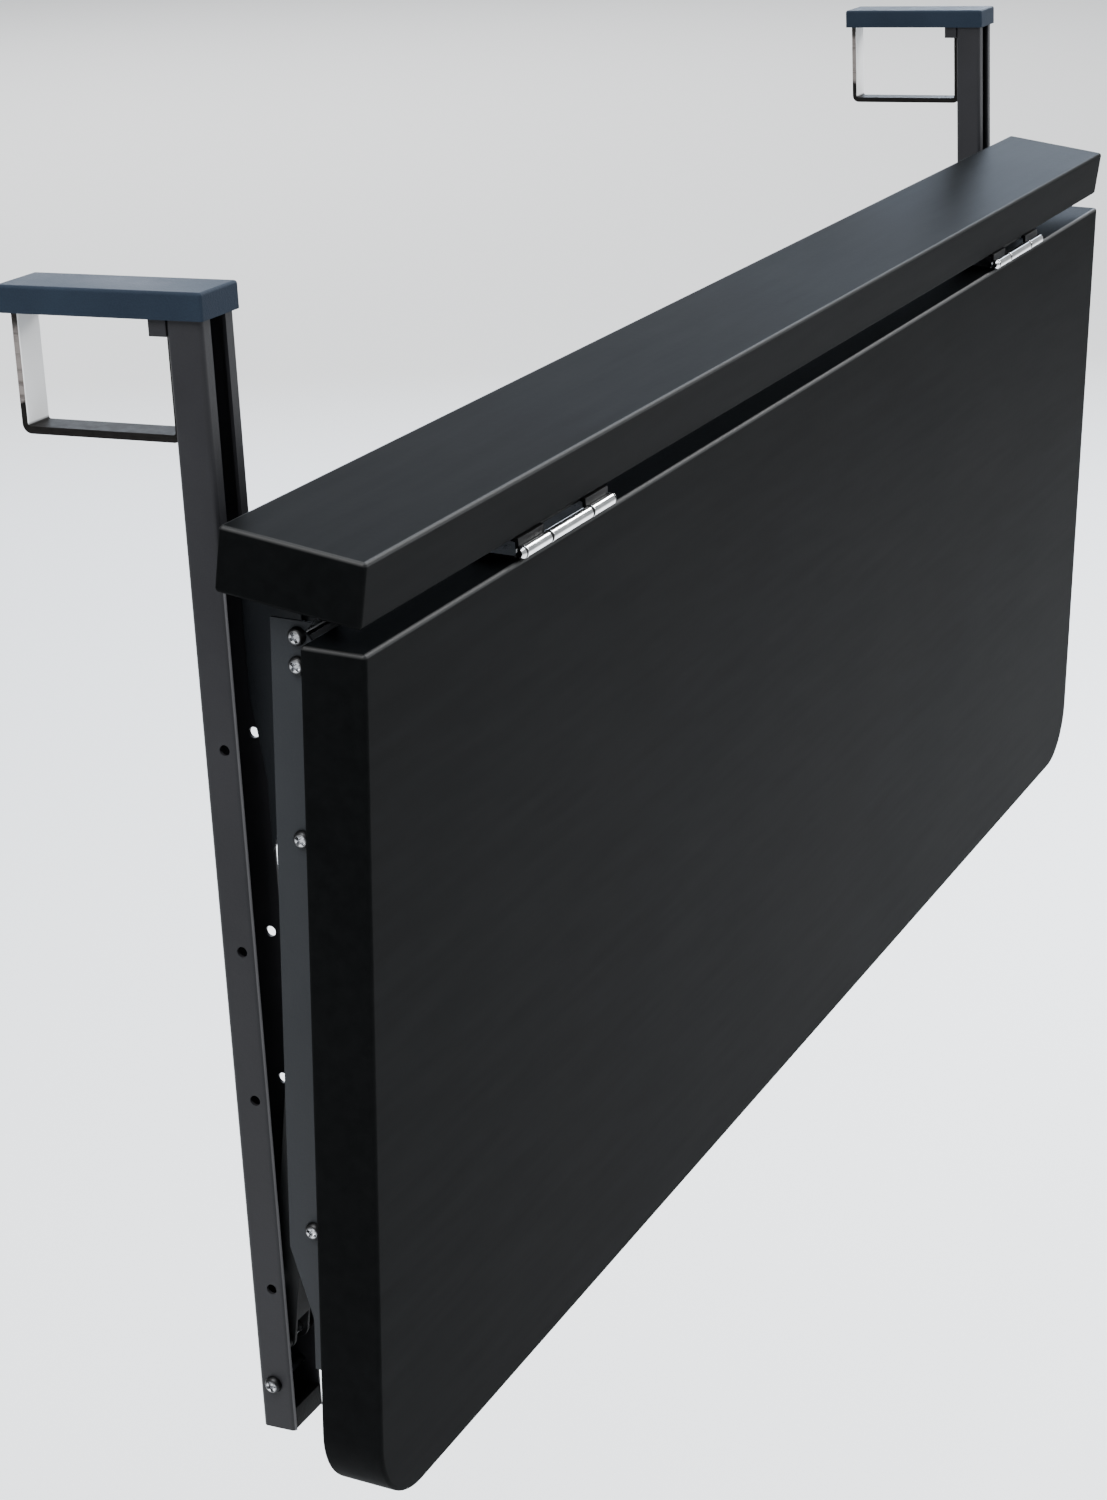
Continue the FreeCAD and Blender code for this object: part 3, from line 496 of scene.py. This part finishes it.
def refined(node, slot):
    """The node's own shape with its hard edges broken and its round faces smooth."""
    shape = bmesh.new()
    shape.from_mesh(frame["nodes"][node].data)
    bmesh.ops.remove_doubles(shape, verts=shape.verts, dist=1e-6)
    bmesh.ops.dissolve_limit(shape, angle_limit=math.radians(0.5), verts=shape.verts, edges=shape.edges)
    piece = made(node + "_finished", shape, node, slot)
    bevel = piece.modifiers.new("broken_edges", "BEVEL")
    bevel.width = BROKEN_EDGE
    bevel.segments = 2
    bevel.limit_method = "ANGLE"
    bevel.angle_limit = BROKEN_ANGLE
    piece.modifiers.move(1, 0)


def cut_from(shape, cutter):
    """shape with cutter taken out of it."""
    blank = placed("blank", mesh_of("blank", shape))
    tool = placed("cutter", mesh_of("cutter", cutter))
    cut = blank.modifiers.new("cut", "BOOLEAN")
    cut.operation = "DIFFERENCE"
    cut.object = tool
    bpy.context.view_layer.update()
    mesh = bpy.data.meshes.new_from_object(blank.evaluated_get(bpy.context.evaluated_depsgraph_get()))
    result = bmesh.new()
    result.from_mesh(mesh)
    for used in (mesh, blank.data, tool.data):
        bpy.data.meshes.remove(used)
    return result


def cross_blade(top, reach, width, depth, turn):
    """One tapered blade of a screwdriver's cross, reaching down from top."""
    shape = bmesh.new()
    bmesh.ops.create_cube(shape, size=1.0)
    bmesh.ops.scale(shape, vec=(2 * reach, width, 2 * depth), verts=shape.verts)
    low = [v for v in shape.verts if v.co.z < 0]
    bmesh.ops.scale(shape, vec=CROSS_TAPER, verts=low)
    bmesh.ops.rotate(shape, matrix=Matrix.Rotation(turn, 3, "Z"), verts=shape.verts)
    bmesh.ops.translate(shape, vec=(0, 0, top), verts=shape.verts)
    return shape


def screw_blank(head_radius, head_height, shank_radius, length, countersunk):
    """A cross-head screw with its seat at the origin and its shank down -Z."""
    head = bmesh.new()
    if countersunk:
        bmesh.ops.create_cone(head, cap_ends=True, segments=40, radius1=shank_radius, radius2=head_radius,
                              depth=head_height)
        bmesh.ops.translate(head, vec=(0, 0, -head_height / 2), verts=head.verts)
        top = 0.0
    else:
        bmesh.ops.create_cone(head, cap_ends=True, segments=40, radius1=head_radius, radius2=head_radius,
                              depth=head_height)
        bmesh.ops.translate(head, vec=(0, 0, head_height / 2), verts=head.verts)
        crown = [e for e in head.edges if all(v.co.z > head_height * 0.99 for v in e.verts)]
        rounded(head, crown, head_height * HEAD_DOME, 8)
        top = head_height
    reach, width, depth = head_radius * CROSS_REACH, head_radius * CROSS_WIDTH, head_height * CROSS_DEPTH
    for turn in (0, math.pi / 2):
        head = cut_from(head, cross_blade(top, reach, width, depth, turn))
    bmesh.ops.create_cone(head, cap_ends=True, segments=24, radius1=shank_radius * 0.9, radius2=shank_radius,
                          depth=length - 2 * SHANK_GAP, matrix=Matrix.Translation((0, 0, -length / 2)))
    # rim: 1 on the shank, coming in over the head's skirt, where plated finishes paint shade.
    rim = head.verts.layers.float.new("rim")
    for vert in head.verts:
        skirt = (math.hypot(vert.co.x, vert.co.y) / head_radius - PAINTED_SHADE_START) / PAINTED_SHADE_FADE
        vert[rim] = 1.0 if vert.co.z < -0.0004 else min(1.0, max(0.0, skirt))
    return head


def screws(name, node, slot, seats, form, length, countersunk=False):
    """Screws of one form at seats of (point, direction out of the head, turn of the cross)."""
    blank = mesh_of("blank", screw_blank(*form, length, countersunk))
    shape = bmesh.new()
    for point, out, turn in seats:
        first = len(shape.verts)
        shape.from_mesh(blank)
        shape.verts.ensure_lookup_table()
        place = Matrix.Translation(point) @ out.to_track_quat("Z", "X").to_matrix().to_4x4()
        place = place @ Matrix.Rotation(turn, 4, "Z")
        bmesh.ops.transform(shape, matrix=place, verts=shape.verts[first:])
    bpy.data.meshes.remove(blank)
    made(name, shape, node, slot)


def on_leaf(x, back, z):
    """A point of the leaf: x along it, back from its front face, z up from the hinge line."""
    return LEAF_PLACE @ Vector((x, back, z))


def on_shelf(x, y, z):
    """A point of the shelf: x along it, y and z from the rear edge of its top."""
    return SHELF_PLACE @ Vector((x, y, z))


def side_screws(side, sign):
    """The cross-head bolts and wood screws of one side, with each cross at a turn of its own."""
    outward = Vector((sign, 0, 0))
    leaf_turn = LEAF_PLACE.to_3x3()
    shelf_turn = SHELF_PLACE.to_3x3()
    face = sign * (SIDE + ARM_FACE)
    bolts = [(on_leaf(face, BOLT_BACK, LEAF_EDGE - drop), outward, 0.5 + 1.9 * i)
             for i, drop in enumerate(BOLT_DROPS)]
    screws(side + "_arm_bolts_crosshead", side + "_arm_bolts", "zinc", bolts, BOLT, ARM_BOLT_LENGTH)
    pivot = [(on_leaf(face, BOLT_BACK, LEAF_EDGE - PIVOT_DROP), outward, 0.9)]
    screws(side + "_pivot_bolt_crosshead", side + "_pivot_bolt", "zinc", pivot, BOLT, ARM_BOLT_LENGTH)
    foot = Vector((sign * (SIDE + UPRIGHT_FACE), 0, 0)) + UPRIGHT_FOOT_BOLT
    stop = [(foot, outward, 0.3)]
    screws(side + "_stop_bolt_crosshead", side + "_stop_bolt", "zinc", stop, BOLT, STOP_BOLT_LENGTH)
    back = LEAF_THICKNESS + ARM_SHEET
    seats = [(on_leaf(sign * SIDE, back, LEAF_EDGE - drop), leaf_turn @ Vector((0, 1, 0)), 0.7 * i)
             for i, drop in enumerate(ARM_SCREW_DROPS)]
    screws(side + "_arm_screws_crosshead", side + "_arm_screws", "dark_zinc", seats,
           WOOD_SCREW, ARM_SCREW_LENGTH)
    inset = sign * (SIDE - SHELF_SCREW_INSET)
    under = shelf_turn @ Vector((0, 0, -1))
    seats = [(on_shelf(inset, -y, -SHELF_THICKNESS - BRACKET_SHEET), under, 0.4 + y * 30)
             for y in SHELF_SCREW_PLACES]
    screws(side + "_shelf_screws_crosshead", side + "_shelf_screws", "dark_zinc", seats,
           WOOD_SCREW, SHELF_SCREW_LENGTH)
    places = [sign * HINGE_SIDE + x for x in HINGE_SCREW_PLACES]
    seats = [(on_shelf(x, -FIXED_HINGE_SCREWS_FORWARD, -SHELF_THICKNESS - HINGE_SHEET), under, x * 40)
             for x in places]
    screws(side + "_fixed_hinge_screws_crosshead", side + "_fixed_hinge_screws", "hinge_plate", seats,
           WOOD_SCREW, SHELF_SCREW_LENGTH, countersunk=True)
    above = leaf_turn @ Vector((0, 0, 1))
    seats = [(on_leaf(x, MOVING_HINGE_SCREWS_BACK, LEAF_EDGE + HINGE_SHEET), above, x * 50) for x in places]
    screws(side + "_moving_hinge_screws_crosshead", side + "_moving_hinge_screws", "hinge_plate", seats,
           WOOD_SCREW, SHELF_SCREW_LENGTH, countersunk=True)


def cap_moulding(side):
    """Moulded hook cover with soft upper edges, open below."""
    node = side + "_hook_cap"
    low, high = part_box(node)
    shape = box_between(low, high)
    upper = [e for e in shape.edges if max(v.co.z for v in e.verts) > high.z - 1e-5]
    rounded(shape, upper, CAP_ROUND, 5)
    floor = [f for f in shape.faces if all(v.co.z < low.z + 1e-5 for v in f.verts)]
    bmesh.ops.inset_region(shape, faces=floor, thickness=CAP_WALL, use_even_offset=True)
    bmesh.ops.translate(shape, vec=(0, 0, CAP_INSIDE), verts=floor[0].verts)
    made(side + "_cap_moulding", shape, node, "cap_plastic")


def foot_plug(side, sign):
    """Push-in plug that closes the upright's lower end."""
    middle = Vector((sign * SIDE, 0, 0))
    shape = box_between(middle + FOOT_PLUG_LOW, middle + FOOT_PLUG_HIGH)
    rounded(shape, sharp_edges(shape), SMALL_ROUND, 3)
    made(side + "_foot_plug", shape, side + "_upright", "glide_plastic", instead=False)


def barrel(side, sign, name, spans):
    """Bright knuckles rolled round the hinge line, over the plate that they belong to, which is painted near
    black as shade.
    """
    shape = bmesh.new()
    for x0, x1 in spans:
        length = x1 - x0 - 2 * KNUCKLE_GAP
        middle = Vector((sign * (HINGE_SIDE - (x0 + x1) / 2), 0, 0)) + HINGE_LINE
        place = Matrix.Translation(middle) @ Matrix.Rotation(math.pi / 2, 4, "Y")
        sleeve = bmesh.ops.create_cone(shape, cap_ends=True, segments=48, radius1=SLEEVE_RADIUS,
                                       radius2=SLEEVE_RADIUS, depth=length, matrix=place)
        around = dict.fromkeys(e for v in sleeve["verts"] for e in v.link_edges
                               if abs(e.verts[0].co.x - e.verts[1].co.x) < 1e-6)
        rounded(shape, list(around), SMALL_ROUND, 4)
    made(side + "_" + name + "_barrel", shape, side + "_" + name, "hinge_chrome")


def dress_side(side, sign):
    """All pieces of one side."""
    cap_moulding(side)
    foot_plug(side, sign)
    first, last = KNUCKLE_JOINTS
    barrel(side, sign, "fixed_hinge_plate", ((-HINGE_HALF, first), (last, HINGE_HALF)))
    barrel(side, sign, "moving_hinge_plate", ((first, last),))
    side_screws(side, sign)
    slots = {row["node"]: row["material_slot"] for row in frame["record"]["subparts"]}
    for name in SMOOTHED:
        node = side + "_" + name
        refined(node, slots[node])


def camera():
    """Camera at the photograph's place, on a 36 mm frame."""
    data = bpy.data.cameras.new("photo_camera")
    data.sensor_width = 36.0
    data.lens = LENS_MM
    data.clip_start = 0.05
    data.clip_end = 60.0
    view = placed("photo_camera", data)
    turn = Matrix((CAMERA_RIGHT, -CAMERA_DOWN, -CAMERA_FORWARD)).transposed().to_4x4()
    view.matrix_world = Matrix.Translation(CAMERA_PLACE) @ turn
    bpy.context.scene.camera = view


def soft_light(name, place, aim, size, power, colour):
    """A rectangular lamp at place that faces aim."""
    data = bpy.data.lights.new(name, "AREA")
    data.shape = "RECTANGLE"
    data.size, data.size_y = size
    data.energy = power
    data.color = colour
    lamp = placed(name, data)
    lamp.visible_camera = False
    lamp.location = place
    lamp.rotation_euler = (Vector(aim) - Vector(place)).to_track_quat("-Z", "Y").to_euler()


def studio():
    """Daylight, a pale floor far below the hooks, and the soft lights."""
    world = bpy.data.worlds.new("studio")
    world.use_nodes = True
    world.node_tree.nodes["Background"].inputs["Color"].default_value = DAYLIGHT
    world.node_tree.nodes["Background"].inputs["Strength"].default_value = DAYLIGHT_STRENGTH
    bpy.context.scene.world = world
    shape = bmesh.new()
    bmesh.ops.create_grid(shape, x_segments=2, y_segments=2, size=30.0)
    bmesh.ops.translate(shape, vec=(0, 0, FLOOR_HEIGHT), verts=shape.verts)
    floor = placed("studio_floor", mesh_of("studio_floor", shape))
    finish = Finish("pale_floor", base_color=(0.95, 0.955, 0.96, 1), roughness=0.9)
    floor.data.materials.append(finish.material)
    for light in LIGHTS:
        soft_light(*light)


paint_frame()
leaf_panel()
shelf_panel()
dress_side("left", -1)
dress_side("right", 1)
camera()
studio()
